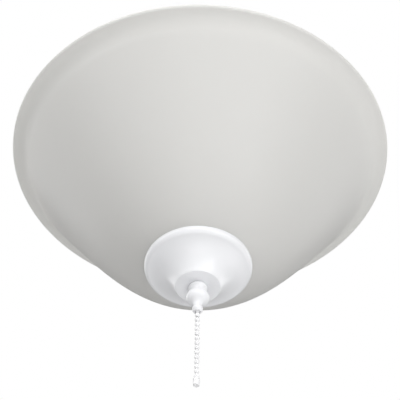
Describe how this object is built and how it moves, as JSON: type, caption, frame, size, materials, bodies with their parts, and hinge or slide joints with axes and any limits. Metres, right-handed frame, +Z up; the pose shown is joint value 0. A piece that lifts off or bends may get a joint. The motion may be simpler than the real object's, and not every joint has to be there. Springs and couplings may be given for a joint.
{
  "type": "pull-chain ceiling light",
  "caption": "Ceiling light with a frosted glass bowl, held by a turned finial; a bead pull chain through the finial works the switch inside its cup.",
  "frame": {"origin": "centre of the flat top face of the cup, on the axis of its three screw holes", "axes": "+Z up, out of the top face; -Y is the front"},
  "size_m": [0.3297, 0.3298, 0.3259],
  "materials": {
    "frosted_glass": "satin frosted",
    "white_enamel": "satin",
    "finial_white": "soft gloss",
    "chain_white": "soft gloss",
    "coupling_white": "soft gloss",
    "black_rubber": "matte",
    "zinc_steel": "zinc plated",
    "foil": "bright",
    "brass": "satin",
    "fibre": "matte",
    "gasket": "matte",
    "porcelain": "glazed",
    "bulb_glass": "frosted",
    "bulb_cap": "satin",
    "switch_black": "moulded",
    "nylon": "moulded",
    "rotor_red": "moulded",
    "lead_insulation": "smooth",
    "connector_orange": "moulded",
    "plug_white": "moulded"
  },
  "bodies": {
    "fixture": {"switch_cup": "white_enamel", "wire_grommet": "black_rubber", "side_screws": "zinc_steel", "pan": "white_enamel", "pan_collar": "white_enamel", "heat_shield": "foil", "pan_bushings": "black_rubber", "centre_rod": "brass", "rod_top_nut": "brass", "toothed_washer": "zinc_steel", "rod_lower_nut": "brass", "bowl_stop_nut": "brass", "lamp_bracket_1": "zinc_steel", "lamp_bracket_2": "zinc_steel", "lamp_bracket_3": "zinc_steel", "lamp_screws": "zinc_steel", "socket_1": "porcelain", "socket_2": "porcelain", "socket_3": "porcelain", "screw_shell_1": "brass", "screw_shell_2": "brass", "screw_shell_3": "brass", "centre_contact_1": "brass", "centre_contact_2": "brass", "centre_contact_3": "brass", "bulb_1": "bulb_glass", "bulb_2": "bulb_glass", "bulb_3": "bulb_glass", "bulb_base_1": "bulb_cap", "bulb_base_2": "bulb_cap", "bulb_base_3": "bulb_cap", "switch_strap": "zinc_steel", "strap_screws": "zinc_steel", "switch_housing": "switch_black", "switch_cover": "switch_black", "switch_rivets": "brass", "switch_bushing": "brass", "bushing_nut": "brass", "gear_axle": "zinc_steel", "detent_spring": "zinc_steel", "fixed_contact_1": "brass", "fixed_contact_2": "brass", "return_spring": "zinc_steel", "lamp_leads": "lead_insulation", "switch_leads": "lead_insulation", "wire_connectors": "connector_orange", "harness_plug": "plug_white"},
    "glass_assembly": {"glass_washer": "fibre", "glass_bowl": "frosted_glass", "rim_gasket": "gasket", "finial_cap": "finial_white"},
    "finial": {"finial_knob": "finial_white"},
    "pull_train": {"plunger": "nylon", "upper_chain": "chain_white"},
    "rotor": {"rack_gear": "nylon", "contact_rotor": "rotor_red", "moving_contact": "brass"},
    "swivel": {"swivel_bead": "chain_white"},
    "hanging_chain": {"pull_chain": "chain_white", "chain_coupling": "coupling_white"}
  },
  "joints": [
    {"name": "chain_pull", "type": "slide", "parent": "fixture", "child": "pull_train", "axis": [0, 0, -1], "range_m": [0, 0.00942], "stiffness_N_per_m": 450, "springref_m": -0.003, "deforming": ["return_spring"]},
    {"name": "gear_turn", "type": "hinge", "parent": "fixture", "child": "rotor", "pos_m": [0.0105, 0, -0.02], "axis": [0, -1, 0], "range_deg": [0, 90.5]},
    {"name": "chain_swing_front", "type": "hinge", "parent": "pull_train", "child": "swivel", "pos_m": [0, 0, -0.2467], "axis": [1, 0, 0], "range_deg": [-60, 60]},
    {"name": "chain_swing_side", "type": "hinge", "parent": "swivel", "child": "hanging_chain", "pos_m": [0, 0, -0.2467], "axis": [0, 1, 0], "range_deg": [-60, 60]},
    {"name": "glass_drop", "type": "slide", "parent": "fixture", "child": "glass_assembly", "axis": [0, 0, -1], "range_m": [0, 0.00282]},
    {"name": "finial_turn", "type": "hinge", "parent": "glass_assembly", "child": "finial", "pos_m": [0, 0, -0.22], "axis": [0, 0, -1], "range_deg": [0, 1081]}
  ],
  "couplings": [
    {"joint": "gear_turn", "follows": "chain_pull", "rad_per_m": 166.67},
    {"joint": "finial_turn", "follows": "glass_drop", "rad_per_m": 6684.2}
  ]
}
